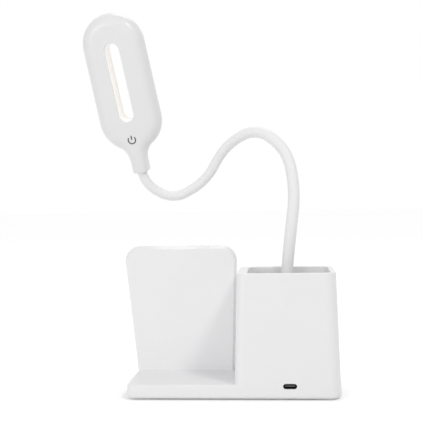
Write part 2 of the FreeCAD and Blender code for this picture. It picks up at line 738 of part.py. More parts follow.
def make_light():
    t = head_thickness / 2
    diffuser = window(diffuser_lap - fit_gap, t - diffuser_thickness, t).cut(slot(0, 0, t + overrun))
    keep_on_head("diffuser", diffuser)
    liner_back = -t + head_wall
    liner_front = t - diffuser_thickness
    keep_on_head("slot_liner", slot(liner_wall, liner_back, liner_front).cut(slot(0, -t, t)))
    board_back = head_parting - led_board_thickness
    low = icon_level + touch_board_size[1] / 2 + board_gap
    top = head_length / 2 - head_wall - fit_gap
    width = head_width - 2 * head_wall - 2 * fit_gap
    board = pill(width, top - low, board_back, head_parting, (top + low) / 2)
    board = board.cut(slot(liner_wall + fit_gap, -t, t))
    keep_on_head("led_board", board)
    w, h, d = led_size
    x = (slot_width / 2 + liner_wall + head_width / 2 - window_side) / 2
    leds = []
    for side in (-x, x):
        for i in range(led_rows):
            z = slot_offset + (i - (led_rows - 1) / 2) * led_pitch
            leds.append(box(side - w / 2, side + w / 2, head_parting, head_parting + h, z - d / 2, z + d / 2))
    keep_on_head("led_chips", Part.makeCompound(leds))


def make_touch_control():
    t = head_thickness / 2
    w, d = touch_board_size
    back = head_parting - led_board_thickness
    board = box(-w / 2, w / 2, back, head_parting, icon_level - d / 2, icon_level + d / 2)
    keep_on_head("touch_board", board)
    foam = rod(touch_foam_radius, Vec(0, head_wall - t, icon_level), Vec(0, back, icon_level))
    keep_on_head("touch_foam", foam.common(head_inside()))
    place = Vec(0, -t - icon_thickness, icon_level)
    ring = rod(icon_radius, place, place + Vec(0, icon_thickness, 0), icon_radius - icon_line)
    spread = 2 * icon_radius * math.tan(math.radians(icon_opening))
    corners = [Vec(0, -t - overrun, icon_level), Vec(spread, -t - overrun, icon_level + 2 * icon_radius),
               Vec(-spread, -t - overrun, icon_level + 2 * icon_radius)]
    ring = ring.cut(Part.Face(Part.makePolygon(corners + corners[:1])).extrude(Y_AXIS * 2 * overrun))
    low, high = icon_bar
    bar = box(-icon_line / 2, icon_line / 2, -t - icon_thickness, -t, icon_level + low, icon_level + high)
    keep_on_head("power_icon", Part.makeCompound([ring, bar]))


def make_head_fasteners():
    t = head_thickness / 2
    screws = []
    for x, z in head_screw_axis():
        seat = Vec(x, t - head_screw_recess, z)
        head = rod(head_screw_head_radius, seat, seat + Y_AXIS * head_screw_head_height)
        shank = rod(head_screw_radius, Vec(x, head_parting - head_screw_length, z), seat)
        screws.append(head.fuse(shank))
    keep_on_head("head_screws", Part.makeCompound(screws))
    low = socket_end + sleeve_tuck
    top = low + ferrule_length
    ferrule = rod(socket_bore - thread_gap, Vec(0, 0, low), Vec(0, 0, top), core_radius + core_gap)
    z = pinch_screw_level
    hole = rod(pinch_screw_radius + thread_gap, Vec(0, core_radius, z), Vec(0, socket_bore + overrun, z))
    keep_on_head("neck_ferrule", ferrule.cut(hole))
    tip = Vec(0, core_radius + fit_gap, z)
    keep_on_head("pinch_screw", rod(pinch_screw_radius, tip, tip + Y_AXIS * pinch_screw_length))


# ---- Gooseneck ----------------------------------------------------------------------------

def neck_line():
    """Corners of the neck's line, from the pocket floor to inside the head."""
    head = head_placement()
    last_corner = head.multVec(Z_AXIS * (socket_end - neck_entry))
    inside = head.multVec(Z_AXIS * (socket_end + sleeve_tuck + ferrule_length))
    return [neck_foot] + [neck_foot + Vec(*step) for step in neck_steps] + [last_corner, inside]


def neck_pivots(line):
    """Bending points of the neck: the middle of each run between two bends."""
    return [(line[i] + line[i + 1]) * 0.5 for i in range(1, len(line) - 2)]


class Link:
    """One stiff length of the neck: a run, a bend and a run."""

    def __init__(self, start, corner, end, reach):
        self.start = start
        self.end = end
        self.run_in = (corner - start).normalize()
        self.run_out = (end - corner).normalize()
        self.bend_start = corner - self.run_in * reach
        self.bend_end = corner + self.run_out * reach
        self.turn = self.run_in.getAngle(self.run_out)
        self.axis = self.run_in.cross(self.run_out).normalize()
        self.radius = reach / math.tan(self.turn / 2)
        self.centre = self.bend_start + self.axis.cross(self.run_in).normalize() * self.radius

    def tube(self, radius, bore, trim_start, trim_end):
        """Solid that follows the link, with its ends cut back."""
        def ring(at, way):
            face = Part.Face(Part.Wire(Part.makeCircle(radius, at, way)))
            if bore > 0:
                face = face.cut(Part.Face(Part.Wire(Part.makeCircle(bore, at, way))))
            return face

        first = self.start + self.run_in * trim_start
        last = self.end - self.run_out * trim_end
        middle = self.centre + (self.bend_start + self.bend_end - self.centre * 2).normalize() * self.radius
        path = Part.Wire([Part.makeLine(first, self.bend_start),
                          Part.Arc(self.bend_start, middle, self.bend_end).toShape(),
                          Part.makeLine(self.bend_end, last)])
        return path.makePipe(ring(first, self.run_in))


def neck_links():
    line = neck_line()
    pivots = neck_pivots(line)
    starts = [line[0]] + pivots
    ends = pivots + [line[-1]]
    links = []
    for i, corner in enumerate(line[1:-1]):
        shorter = min((corner - line[i]).Length, (line[i + 2] - corner).Length)
        links.append(Link(starts[i], corner, ends[i], bend_share * shorter))
    return links


def hinge_axis(number, link):
    """Axis of the hinge at a link's start: it bends the neck in the link's plane or out of it."""
    return link.axis if bends_in_plane[number] else link.run_in.cross(link.axis).normalize()


def barrel(radius, half_length, middle, axis):
    return rod(radius, middle - axis * half_length, middle + axis * half_length)


def make_neck():
    links = neck_links()
    last = len(links) - 1
    for i, link in enumerate(links):
        name = "head" if i == last else str(i)
        blend = i / last
        radius = sleeve_foot_radius + (sleeve_head_radius - sleeve_foot_radius) * blend
        trim_start = sleeve_gap / 2 if i > 0 else bush_flange_height + fit_gap
        trim_end = sleeve_gap / 2 if i < last else ferrule_length
        keep("neck_sleeve_" + name, link.tube(radius, sleeve_bore_radius, trim_start, trim_end))
        core = link.tube(core_radius, 0, saddle_reach - core_tuck if i > 0 else 0, 0)
        if i > 0:
            saddle = rod(saddle_radius, link.start + link.run_in * saddle_start,
                         link.start + link.run_in * saddle_reach)
            hollow = barrel(barrel_radius + barrel_clearance, saddle_radius + overrun, link.start,
                            hinge_axis(i - 1, link))
            core = core.fuse(saddle).cut(hollow)
        if i < last:
            axis = hinge_axis(i, links[i + 1])
            core = core.fuse(barrel(barrel_radius, barrel_half_length, link.end, axis))
        keep("neck_core_" + name, core)


def make_neck_mounting():
    under = neck_foot - Z_AXIS * pocket_floor
    flange = rod(bush_flange_radius, neck_foot, neck_foot + Z_AXIS * bush_flange_height)
    first_link = neck_links()[0]
    spigot_top = neck_foot + first_link.run_in * bush_spigot_height
    spigot = rod(sleeve_bore_radius - core_gap, neck_foot, spigot_top)
    stem = rod(bush_stem_radius, under - Z_AXIS * (nut_height + thread_end), neck_foot)
    bush = flange.fuse([spigot, stem])
    keep("neck_bush", bush.cut(first_link.tube(core_radius + core_gap, 0, 0, 0)))
    corner_radius = nut_across_flats / 2 / math.cos(math.radians(30))
    points = []
    for i in range(7):
        a = math.radians(60 * i)
        points.append(under + Vec(corner_radius * math.cos(a), corner_radius * math.sin(a), -nut_height))
    nut = Part.Face(Part.makePolygon(points)).extrude(Z_AXIS * nut_height)
    bore = rod(bush_stem_radius + thread_gap, under - Z_AXIS * (nut_height + overrun), under)
    keep("neck_nut", nut.cut(bore))


make_base_shell()
make_bottom_cover()
make_underside_pieces()
make_inside_pieces()
make_charging_socket()
make_phone_plate()
make_head_shells()
make_light()
make_touch_control()
make_head_fasteners()
make_neck()
make_neck_mounting()

os.makedirs("parts", exist_ok=True)
for name, shape in made.items():
    bad = [s for s in shape.Solids if not s.isValid() or s.Volume <= 0]
    print(name, len(shape.Solids), round(shape.Volume, 1), "bad" if bad or not shape.Solids else "ok")
    shape.exportStep("parts/" + name + ".step")
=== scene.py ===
import json
import math

import bpy
from mathutils import Matrix, Vector


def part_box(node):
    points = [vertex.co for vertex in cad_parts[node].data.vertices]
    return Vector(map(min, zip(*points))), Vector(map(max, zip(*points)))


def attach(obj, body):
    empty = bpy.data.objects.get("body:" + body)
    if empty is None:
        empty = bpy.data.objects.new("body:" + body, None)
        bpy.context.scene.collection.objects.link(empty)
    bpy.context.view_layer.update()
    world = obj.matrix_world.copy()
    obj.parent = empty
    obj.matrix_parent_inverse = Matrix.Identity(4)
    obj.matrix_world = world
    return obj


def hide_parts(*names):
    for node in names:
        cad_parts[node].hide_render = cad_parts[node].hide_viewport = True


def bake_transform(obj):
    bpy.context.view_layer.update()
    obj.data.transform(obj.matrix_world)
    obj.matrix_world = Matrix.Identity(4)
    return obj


bl_info = {
    "name": "Desk lamp with pen cup and phone plate",
    "version": (1, 0, 0),
    "blender": (4, 5, 0),
    "location": "3D View > Sidebar > Desk lamp",
    "description": "Dresses the packed desk lamp: finishes, neck sleeve, small fittings and a studio stage",
    "category": "Object",
}

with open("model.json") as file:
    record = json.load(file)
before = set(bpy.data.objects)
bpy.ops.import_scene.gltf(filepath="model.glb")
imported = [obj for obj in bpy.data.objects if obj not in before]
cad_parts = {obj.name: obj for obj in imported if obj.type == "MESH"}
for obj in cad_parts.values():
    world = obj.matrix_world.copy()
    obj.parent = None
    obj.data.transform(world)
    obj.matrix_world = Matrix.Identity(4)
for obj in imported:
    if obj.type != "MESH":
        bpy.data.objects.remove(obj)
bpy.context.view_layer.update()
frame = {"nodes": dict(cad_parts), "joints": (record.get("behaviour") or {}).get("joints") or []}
nodes = frame["nodes"]
joints = frame["joints"]
MM = 0.001
WHITE = (1.0, 1.0, 1.0, 1.0)


# ---- Kinds of setting --------------------------------------------------------------------

def colour(name, description, default):
    return bpy.props.FloatVectorProperty(name=name, description=description, default=default,
                                         size=3, subtype="COLOR", min=0.0, max=1.0)


def length(name, description, default):
    return bpy.props.FloatProperty(name=name, description=description, default=default,
                                   unit="LENGTH", subtype="DISTANCE", min=0.0)


def lengths(name, description, default):
    """Two or three lengths that belong together."""
    return bpy.props.FloatVectorProperty(name=name, description=description, default=default,
                                         size=len(default), unit="LENGTH")


def place(name, description, default):
    return bpy.props.FloatVectorProperty(name=name, description=description, default=default,
                                         size=3, unit="LENGTH", subtype="XYZ")


def angle(name, description, degrees):
    return bpy.props.FloatProperty(name=name, description=description, default=math.radians(degrees),
                                   unit="ROTATION", subtype="ANGLE")


def share(name, description, default, low=0.0, high=1.0):
    return bpy.props.FloatProperty(name=name, description=description, default=default,
                                   min=low, max=high, subtype="FACTOR")


def power(name, description, default):
    return bpy.props.FloatProperty(name=name, description=description, default=default,
                                   min=0.0, unit="POWER")


def count(name, description, default, low, high):
    return bpy.props.IntProperty(name=name, description=description, default=default, min=low, max=high)


# ---- Settings ----------------------------------------------------------------------------

class FinishSettings(bpy.types.PropertyGroup):
    """Colours of the moulded, rubber and metal pieces."""
    shell_colour: colour("Housing", "Matt white of the base and the plate", (0.860, 0.858, 0.866))
    # The head's white is the housing white made darker: painted shade for the light that the head's
    # down-leaning face misses.
    head_painted_shade_colour: colour("Head", "Matt white of the lamp head's shells", (0.815, 0.813, 0.821))
    sleeve_colour: colour("Sleeve", "Matt white of the neck's sleeve", (0.868, 0.864, 0.872))
    gloss: share("Gloss", "Reflection level of the white plastics", 0.35)
    liner_colour: colour("Slot liner", "Warm white inside the head's slot", (0.93, 0.90, 0.865))
    # Painted light: the slot liner glows though it is no lamp, which brightens the slot's wall.
    liner_painted_glow: share("Liner glow", "Painted glow of the slot liner, which is no lamp", 0.15)
    icon_colour: colour("Icon", "Printed power icon", (0.035, 0.035, 0.037))
    pad_colour: colour("Pad", "Non-slip pad", (0.20, 0.20, 0.205))
    grain: length("Grain", "Size of the moulded surface's fine grain", 0.35 * MM)


class NeckSettings(bpy.types.PropertyGroup):
    """Line and thickness of the neck's sleeve."""
    foot: place("Foot", "Where the neck stands on the pocket floor", (35.5 * MM, 14.0 * MM, 27.6 * MM))
    first_corner: place("First corner", "First corner of the line that the neck rounds off",
                        (36.2 * MM, 13.4 * MM, 77.8 * MM))
    bend_share: share("Bend share", "Part of the shorter run that a bend takes", 0.46, 0.1, 0.5)
    foot_radius: length("Foot radius", "Sleeve's radius from its foot to the top of the arch", 4.15 * MM)
    head_radius: length("Head radius", "Sleeve's radius in the dip and at the head", 3.7 * MM)
    slim_start: share("Slim start", "Part of the sleeve's length before it slims down", 0.50)
    slim_run: share("Slim run", "Part of the sleeve's length over which it slims down", 0.22)
    collar: length("Collar", "Height of the bush that the sleeve stands on", 3.0 * MM)
    step: length("Step", "Length of one step along the sleeve", 0.8 * MM)
    lap_depth: length("Lap depth", "Depth of a length's end under its neighbour's skin", 0.04 * MM)
    stiff_ends: share("Stiff ends", "Unbent ends of a bending length, in sleeve radii", 0.6)
    sides: count("Sides", "Faces round the sleeve", 40, 8, 96)


class HeadSettings(bpy.types.PropertyGroup):
    """Place and sizes of the lamp head."""
    centre: place("Centre", "Middle of the lamp head", (-84.55 * MM, 49.60 * MM, 219.81 * MM))
    turn: angle("Turn", "Head's turn about Z", -5.75)
    lean: angle("Lean", "Head's lean about X, top to the front", 16.6)
    tilt: angle("Tilt", "Head's tilt about Y, top to the left", -7.76)
    sleeve_end: length("Sleeve end", "End of the sleeve in the socket, below the head's middle", 64.73 * MM)
    neck_end: length("Neck end", "End of the neck's line, below the head's middle", 54.73 * MM)
    screw_spread: length("Screw spread", "From the head's middle line to a screw", 11.5 * MM)
    screw_drop: length("Screw drop", "From the head's middle down to the screws", 42.13 * MM)
    screw_seat: length("Screw seat", "Seat of the screws' heads, towards the light side", 5.4 * MM)


class FittingSettings(bpy.types.PropertyGroup):
    """Sizes of the screws and of the charging socket's contacts."""
    screw_head: length("Screw head", "Radius of the cover screws' heads", 2.4 * MM)
    screw_height: length("Head height", "Height of the cover screws' heads", 1.3 * MM)
    screw_shank: length("Shank", "Radius of the cover screws' shanks", 1.25 * MM)
    screw_length: length("Length", "Length of the cover screws below their heads", 5.0 * MM)
    screw_pitch: length("Pitch", "Thread pitch of the cover screws", 0.9 * MM)
    screw_inset: lengths("Inset", "Cover screws from the base's ends and sides", (7.0 * MM, 8.0 * MM))
    small_head: length("Small head", "Radius of the head screws' heads", 1.7 * MM)
    small_height: length("Small height", "Height of the head screws' heads", 1.2 * MM)
    small_shank: length("Small shank", "Radius of the head screws' shanks", 0.9 * MM)
    small_length: length("Small length", "Length of the head screws below their heads", 8.4 * MM)
    small_pitch: length("Small pitch", "Thread pitch of the head screws", 0.7 * MM)
    contact_pitch: length("Contact pitch", "From one contact of the charging socket to the next", 0.5 * MM)
    contact_size: lengths("Contact", "Width, length and height of a contact",
                          (0.25 * MM, 2.6 * MM, 0.03 * MM))
    contact_inset: length("Contact inset", "From the tongue's tip to its contacts", 0.3 * MM)
    tongue_half: length("Tongue half", "Half of the tongue's thickness", 0.35 * MM)
    contacts: count("Contacts", "Contacts on each side of the tongue", 12, 2, 24)


class StageSettings(bpy.types.PropertyGroup):
    """Camera, lamps and floor."""
    camera_place: place("Camera", "Where the camera stands", (34.0 * MM, -619.0 * MM, 136.8 * MM))
    camera_turn: angle("Turn", "Camera's turn to the right", -4.53)
    camera_dip: angle("Dip", "Camera's tilt downwards", 1.14)
    camera_roll: angle("Roll", "Camera's roll", -0.90)
    focal_length: bpy.props.FloatProperty(name="Focal length", description="Lens, in millimetres",
                                          default=76.78, min=10.0, max=300.0)
    room_light: share("Room light", "Level of the plain light all round", 0.61, high=2.0)
    lamp_middle: place("Lamp middle", "Point that every lamp is turned to",
                       (-10.0 * MM, 10.0 * MM, 110.0 * MM))
    lamp_distance: length("Lamp distance", "From the middle to every lamp", 1.1)
    key_light: power("Key light", "Small lamp high at the right front", 2.7)
    left_light: power("Left light", "Wide low lamp at the left front", 2.5)
    back_light: power("Back light", "Wide lamp high behind", 1.8)
    floor_colour: colour("Floor", "Floor's own colour", (0.90, 0.90, 0.90))
    floor_half: length("Floor half", "Half of the floor's side", 6.0)
    floor_drop: length("Floor drop", "Floor's level below the pad", 0.1 * MM)
    near_glow: share("Near glow", "Lifts the floor that the camera sees next to the base", 0.20)
    far_glow: share("Far glow", "Lifts the floor that the camera sees further away to white", 0.435)
    near_reach: length("Near reach", "End of the near glow", 0.034)
    far_reach: length("Far reach", "Start of the far glow", 0.075)
    glow_squeeze: share("Glow squeeze", "Squeezes the glow's ring along the base's length", 0.45)


# ---- Helpers for node trees --------------------------------------------------------------

def link_or_set(tree, socket, value):
    """Link a socket to another node's output, or set it to a plain value."""
    if isinstance(value, bpy.types.NodeSocket):
        tree.links.new(value, socket)
    else:
        socket.default_value = value


def add_node(tree, kind, **inputs):
    """Add a node and give its named inputs values or other nodes' outputs."""
    made = tree.nodes.new(kind)
    for name, value in inputs.items():
        link_or_set(tree, made.inputs[name.replace("_", " ")], value)
    return made


def reckon(tree, operation, *values):
    """Result of a maths node on values or outputs."""
    made = tree.nodes.new("ShaderNodeMath")
    made.operation = operation
    for socket, value in zip(made.inputs, values):
        link_or_set(tree, socket, value)
    return made.outputs[0]


def reckon_vector(tree, operation, *vectors, **named):
    """Vector maths node on vectors or outputs."""
    made = tree.nodes.new("ShaderNodeVectorMath")
    made.operation = operation
    for socket, value in zip(made.inputs, vectors):
        link_or_set(tree, socket, value)
    for name, value in named.items():
        link_or_set(tree, made.inputs[name], value)
    return made


def set_vector(tree, x, y, z):
    return add_node(tree, "ShaderNodeCombineXYZ", X=x, Y=y, Z=z).outputs[0]


# ---- Materials ---------------------------------------------------------------------------

def moulded_grain_group():
    """Shader group with the fine grain and faint cloudiness of a moulded surface."""
    group = bpy.data.node_groups.new("Moulded grain", "ShaderNodeTree")
    for label, kind, default in (
            ("Colour", "NodeSocketColor", (0.8, 0.8, 0.8, 1.0)),
            ("Grain size", "NodeSocketFloat", 0.35 * MM),
            ("Cloudiness", "NodeSocketFloat", 0.02),
            ("Roughness", "NodeSocketFloat", 0.5),
            ("Depth", "NodeSocketFloat", 0.1)):
        group.interface.new_socket(label, in_out="INPUT", socket_type=kind).default_value = default
    for label, kind in (("Colour", "NodeSocketColor"), ("Roughness", "NodeSocketFloat"),
                        ("Normal", "NodeSocketVector")):
        group.interface.new_socket(label, in_out="OUTPUT", socket_type=kind)
    given = group.nodes.new("NodeGroupInput").outputs
    where = group.nodes.new("ShaderNodeTexCoord").outputs["Object"]
    grain = add_node(group, "ShaderNodeTexNoise", Vector=where, Detail=2.0,
                     Scale=reckon(group, "DIVIDE", 1.0, given["Grain size"]))
    clouds = add_node(group, "ShaderNodeTexNoise", Vector=where, Detail=3.0, Scale=35.0)
    swing = reckon(group, "SUBTRACT", clouds.outputs["Fac"], 0.5)
    shade = reckon(group, "MULTIPLY_ADD", swing, given["Cloudiness"], 1.0)
    tint = reckon_vector(group, "SCALE", given["Colour"], Scale=shade)
    rough = reckon(group, "MULTIPLY_ADD", swing, 0.08, given["Roughness"])
    bump = add_node(group, "ShaderNodeBump", Height=grain.outputs["Fac"], Strength=given["Depth"],
                    Distance=0.05 * MM)
    add_node(group, "NodeGroupOutput", Colour=tint.outputs[0], Roughness=rough, Normal=bump.outputs[0])
    return group


def grained(name, rgb, roughness, grain, depth, cloudiness, **plain):
    """Material with the moulded grain, and plain values for other sockets of its shader."""
    material = bpy.data.materials.new(name)
    material.use_nodes = True
    material.cycles.emission_sampling = "NONE"
    tree = material.node_tree
    shader = tree.nodes["Principled BSDF"]
    look = tree.nodes.new("ShaderNodeGroup")
    look.node_tree = bpy.data.node_groups.get("Moulded grain") or moulded_grain_group()
    for label, value in (("Colour", (*rgb, 1.0)), ("Grain size", grain), ("Roughness", roughness),
                         ("Depth", depth), ("Cloudiness", cloudiness)):
        look.inputs[label].default_value = value
    for label, socket in (("Colour", "Base Color"), ("Roughness", "Roughness"), ("Normal", "Normal")):
        tree.links.new(look.outputs[label], shader.inputs[socket])
    for label, value in plain.items():
        shader.inputs[label.replace("_", " ")].default_value = value
    return material


def finish(name):
    """One of the finishes, made when it is first asked for."""
    found = bpy.data.materials.get(name)
    if found:
        return found
    paint = bpy.context.scene.lamp_finish
    gloss = {"Specular_IOR_Level": paint.gloss}
    # Painted light: the liner emits a weak glow in its own colour, though it is no lamp.
    glow = {"Emission_Color": (*paint.liner_colour, 1.0), "Emission_Strength": paint.liner_painted_glow}
    milk = {"Subsurface_Weight": 0.15, "Subsurface_Scale": 2 * MM}
    metal = {"Metallic": 1.0}
    # colour, roughness, grain size, grain depth, cloudiness and the shader's other values
    finishes = {
        "Housing white": (paint.shell_colour, 0.30, paint.grain, 0.06, 0.03, gloss),
        # A darker copy of the housing white: painted shade on the lamp head.
        "Head white with painted shade": (paint.head_painted_shade_colour, 0.30, paint.grain, 0.06, 0.03, gloss),
        "Sleeve white": (paint.sleeve_colour, 0.50, 1.5 * MM, 0.01, 0.02, gloss),
        # The liner's emission is painted light that brightens the slot's wall.
        "Liner warm white painted glow": (paint.liner_colour, 0.40, paint.grain, 0.05, 0.01, glow),
        "Icon grey": (paint.icon_colour, 0.40, 0.20 * MM, 0.05, 0.02, {}),
        "Pad rubber": (paint.pad_colour, 0.85, 0.25 * MM, 0.40, 0.15, {}),
        "Milky cover": ((0.90, 0.89, 0.86), 0.35, 0.3 * MM, 0.05, 0.01, milk),
        "Zinc": ((0.62, 0.62, 0.63), 0.32, 0.15 * MM, 0.1, 0.1, metal),
        "Steel": ((0.55, 0.55, 0.56), 0.30, 0.2 * MM, 0.1, 0.1, metal),
        "Ballast iron": ((0.16, 0.16, 0.17), 0.60, 0.8 * MM, 0.4, 0.3, {"Metallic": 0.6}),
        "Cell foil": ((0.68, 0.69, 0.71), 0.35, 1.2 * MM, 0.3, 0.1, {"Metallic": 0.9}),
        "Board green": ((0.03, 0.16, 0.08), 0.35, 0.5 * MM, 0.1, 0.1, {}),
        "Component black": ((0.03, 0.03, 0.033), 0.50, 0.2 * MM, 0.2, 0.1, {}),
        "Socket black": ((0.012, 0.012, 0.013), 0.35, 0.2 * MM, 0.05, 0.1, {"Metallic": 0.4}),
        "Tongue grey": ((0.11, 0.11, 0.115), 0.45, 0.2 * MM, 0.05, 0.02, {}),
        "Contact gold": ((0.75, 0.55, 0.25), 0.30, 0.2 * MM, 0.05, 0.02, metal),
        "Foam black": ((0.02, 0.02, 0.02), 0.95, 0.4 * MM, 0.8, 0.3, {}),
        "Chip yellow": ((0.85, 0.62, 0.12), 0.30, 0.2 * MM, 0.1, 0.02, {}),
        "Chip white": ((0.82, 0.82, 0.80), 0.40, 0.2 * MM, 0.05, 0.02, {}),
    }
    *look, plain = finishes[name]
    return grained(name, *look, **plain)


def dress(node, name):
    """Give a carried-over node its finish."""
    mesh = nodes[node].data
    mesh.materials.clear()
    mesh.materials.append(finish(name))


# ---- Helpers for pieces ------------------------------------------------------------------

def keep_piece(mesh, body, replaced=()):
    """Make an object from a mesh that is already in place, and let it ride on a body, if one is given."""
    piece = bpy.data.objects.new(mesh.name, mesh)
    bpy.context.scene.collection.objects.link(piece)
    if body:
        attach(piece, body)
    if replaced:
        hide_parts(*replaced)
    return piece


def new_tree(name, inputs):
    """Geometry node tree with a geometry input, named inputs and a geometry output."""
    tree = bpy.data.node_groups.new(name, "GeometryNodeTree")
    tree.interface.new_socket("Geometry", in_out="INPUT", socket_type="NodeSocketGeometry")
    for label, kind, default in inputs:
        socket = tree.interface.new_socket(label, in_out="INPUT", socket_type=kind)
        if default is not None:
            socket.default_value = default
    tree.interface.new_socket("Geometry", in_out="OUTPUT", socket_type="NodeSocketGeometry")
    return tree


def close_tree(tree, geometry, material):
    """End a tree in Realize Instances and Set Material."""
    real = add_node(tree, "GeometryNodeRealizeInstances", Geometry=geometry)
    coat = add_node(tree, "GeometryNodeSetMaterial", Geometry=real.outputs[0], Material=material)
    add_node(tree, "NodeGroupOutput", Geometry=coat.outputs[0])


def shade_smooth(tree, geometry, sharp_degrees):
    """Smooth shading that leaves folds over more than an angle sharp."""
    smooth = add_node(tree, "GeometryNodeSetShadeSmooth", Geometry=geometry, Shade_Smooth=True)
    fold = tree.nodes.new("GeometryNodeInputMeshEdgeAngle").outputs["Unsigned Angle"]
    sharp = add_node(tree, "FunctionNodeCompare", A=fold, B=math.radians(sharp_degrees))
    rims = add_node(tree, "GeometryNodeSetShadeSmooth", Geometry=smooth.outputs[0],
                    Selection=sharp.outputs[0], Shade_Smooth=False)
    rims.domain = "EDGE"
    return rims.outputs[0]


def grow(source, tree, values, name):
    """Run a tree on an object, return the result as a plain mesh and delete the source."""
    modifier = source.modifiers.new(tree.name, "NODES")
    modifier.node_group = tree
    for item in tree.interface.items_tree:
        if item.item_type == "SOCKET" and item.in_out == "INPUT" and item.name in values:
            modifier[item.identifier] = values[item.name]
    bpy.context.view_layer.update()
    state = bpy.context.evaluated_depsgraph_get()
    mesh = bpy.data.meshes.new_from_object(source.evaluated_get(state), preserve_all_data_layers=True,
                                           depsgraph=state)
    mesh.name = name
    source.modifiers.remove(modifier)
    bpy.data.objects.remove(source)
    return mesh


# ---- Head's own frame --------------------------------------------------------------------

def head_matrix():
    head = bpy.context.scene.lamp_head
    turn = Matrix.Rotation(head.turn, 4, "Z")
    lean = Matrix.Rotation(head.lean, 4, "X")
    tilt = Matrix.Rotation(head.tilt, 4, "Y")
    return Matrix.Translation(head.centre) @ turn @ lean @ tilt


# ---- Neck sleeve -------------------------------------------------------------------------

def neck_corners():
    """Corners of the neck's line. Each hinge is halfway between two corners."""
    neck = bpy.context.scene.lamp_neck
    corners = [Vector(neck.foot), Vector(neck.first_corner)]
    for joint in joints:
        corners.append(2 * Vector(joint["pos_m"]) - corners[-1])
    head = bpy.context.scene.lamp_head
    corners.append(head_matrix() @ Vector((0, 0, -head.neck_end)))
    return corners


def stretch(start, end, step):
    """Evenly spaced points from start up to, but without, end."""
    steps = max(1, round((end - start).length / step))
    return [start.lerp(end, i / steps) for i in range(steps)]


def neck_halves():
    """Points of each link of the neck, as two halves that meet in the middle of its bend."""
    neck = bpy.context.scene.lamp_neck
    corners = neck_corners()
    pivots = [Vector(joint["pos_m"]) for joint in joints]
    starts = [corners[0]] + pivots
    ends = pivots + [corners[-1]]
    halves = []
    for i, corner in enumerate(corners[1:-1]):
        shorter = min((corner - corners[i]).length, (corners[i + 2] - corner).length)
        reach = neck.bend_share * shorter
        run_in = (corner - starts[i]).normalized()
        run_out = (ends[i] - corner).normalized()
        turn = run_in.angle(run_out)
        radius = reach / math.tan(turn / 2)
        bend_start = corner - run_in * reach
        bend_end = corner + run_out * reach
        axis = run_in.cross(run_out).normalized()
        centre = bend_start + axis.cross(run_in) * radius
        steps = 2 * max(2, round(radius * turn / neck.step / 2))
        arc = [centre + Matrix.Rotation(turn * k / steps, 3, axis) @ (bend_start - centre)
               for k in range(steps + 1)]
        first = stretch(starts[i], bend_start, neck.step) + arc[:steps // 2 + 1]
        second = arc[steps // 2:-1] + stretch(bend_end, ends[i], neck.step) + [ends[i]]
        halves.append((first, second))
    return halves


def sleeve_tree():
    """Tube along a curve, whose points carry the radius."""
    tree = new_tree("Neck sleeve", [
        ("Sides", "NodeSocketInt", 40),
        ("Thickness", "NodeSocketFloat", 1.0),
        ("Material", "NodeSocketMaterial", None),
    ])
    given = tree.nodes.new("NodeGroupInput").outputs
    ring = add_node(tree, "GeometryNodeCurvePrimitiveCircle", Resolution=given["Sides"],
                    Radius=given["Thickness"])
    radius = tree.nodes.new("GeometryNodeInputRadius")
    tube = add_node(tree, "GeometryNodeCurveToMesh", Curve=given["Geometry"], Fill_Caps=True,
                    Profile_Curve=ring.outputs["Curve"], Scale=radius.outputs[0])
    close_tree(tree, shade_smooth(tree, tube.outputs[0], 60), given["Material"])
    return tree


def smooth_step(x):
    x = min(1.0, max(0.0, x))
    return x * x * (3 - 2 * x)


def sleeve_radius(part):
    """Radius of the sleeve at a part of its length: it slims down past the arch."""
    neck = bpy.context.scene.lamp_neck
    slim = smooth_step((part - neck.slim_start) / neck.slim_run)
    return neck.foot_radius + (neck.head_radius - neck.foot_radius) * slim


def sleeve_curve(points, radii):
    data = bpy.data.curves.new("sleeve_line", "CURVE")
    data.dimensions = "3D"
    spline = data.splines.new("POLY")
    spline.points.add(len(points) - 1)
    for on_line, point, radius in zip(spline.points, points, radii):
        on_line.co = (*point, 1.0)
        on_line.radius = radius
    line = bpy.data.objects.new("sleeve_line", data)
    bpy.context.scene.collection.objects.link(line)
    return line


def sleeve_stretches():
    """The sleeve's line in stretches that each cross one hinge, with the sleeve's radius at each point."""
    neck = bpy.context.scene.lamp_neck
    head = bpy.context.scene.lamp_head
    halves = neck_halves()
    lines = [halves[0][0]]
    for before, after in zip(halves, halves[1:]):
        lines.append(before[1] + after[0][1:])
    lines.append(halves[-1][1])
    lines[0] = [p for p in lines[0] if p.z >= neck.foot[2] + neck.collar]
    socket = head_matrix().inverted()
    lines[-1] = [p for p in lines[-1] if (socket @ p).z <= -head.sleeve_end]
    total = sum((b - a).length for line in lines for a, b in zip(line, line[1:]))
    gone = 0.0
    stretches = []
    for line in lines:
        radii = [sleeve_radius(gone / total)]
        for a, b in zip(line, line[1:]):
            gone += (b - a).length
            radii.append(sleeve_radius(gone / total))
        stretches.append((line, radii))
    return lap_stretches(stretches)


def lap_stretches(stretches):
    """Run each stretch two steps into its neighbours, just under their skin, so that no seam opens."""
    depth = bpy.context.scene.lamp_neck.lap_depth
    lapped = []
    for i, (line, radii) in enumerate(stretches):
        line, radii = list(line), list(radii)
        if i > 0:
            before, before_radii = stretches[i - 1]
            line = before[-3:-1] + line
            radii = [radius - depth for radius in before_radii[-3:-1]] + radii
        if i < len(stretches) - 1:
            after, after_radii = stretches[i + 1]
            line = line + after[1:3]
            radii = radii + [radius - depth for radius in after_radii[1:3]]
        lapped.append((line, radii))
    return lapped


